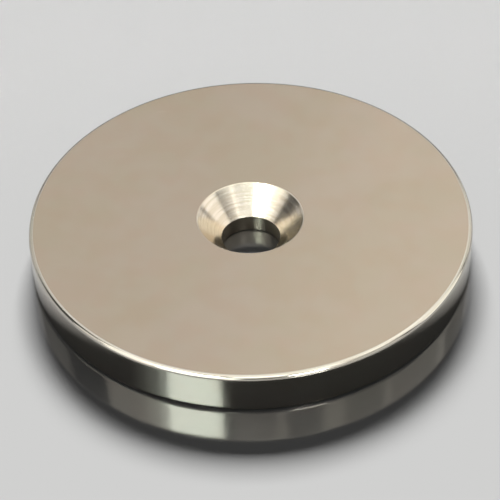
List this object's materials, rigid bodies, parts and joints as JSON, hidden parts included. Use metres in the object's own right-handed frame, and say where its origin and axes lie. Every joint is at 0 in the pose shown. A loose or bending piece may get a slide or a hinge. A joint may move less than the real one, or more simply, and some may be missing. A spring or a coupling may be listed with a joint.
{
  "type": "countersunk ring magnet",
  "caption": "Flat nickel-plated disc magnet with a countersunk screw hole through its middle and small rounded edges.",
  "frame": {"origin": "centre of the back face, the flat face without the countersink, on which the magnet lies", "axes": "+Z along the screw hole, from the back face out through the countersink; +X and +Y are any two directions across the disc, which is the same all round"},
  "size_m": [0.05, 0.05, 0.005],
  "materials": {
    "nickel_plate": "warm nickel plate: satin on the two ground faces, bright on the rim and in the hole"
  },
  "bodies": {
    "root": {"magnet": "nickel_plate"}
  },
  "joints": []
}
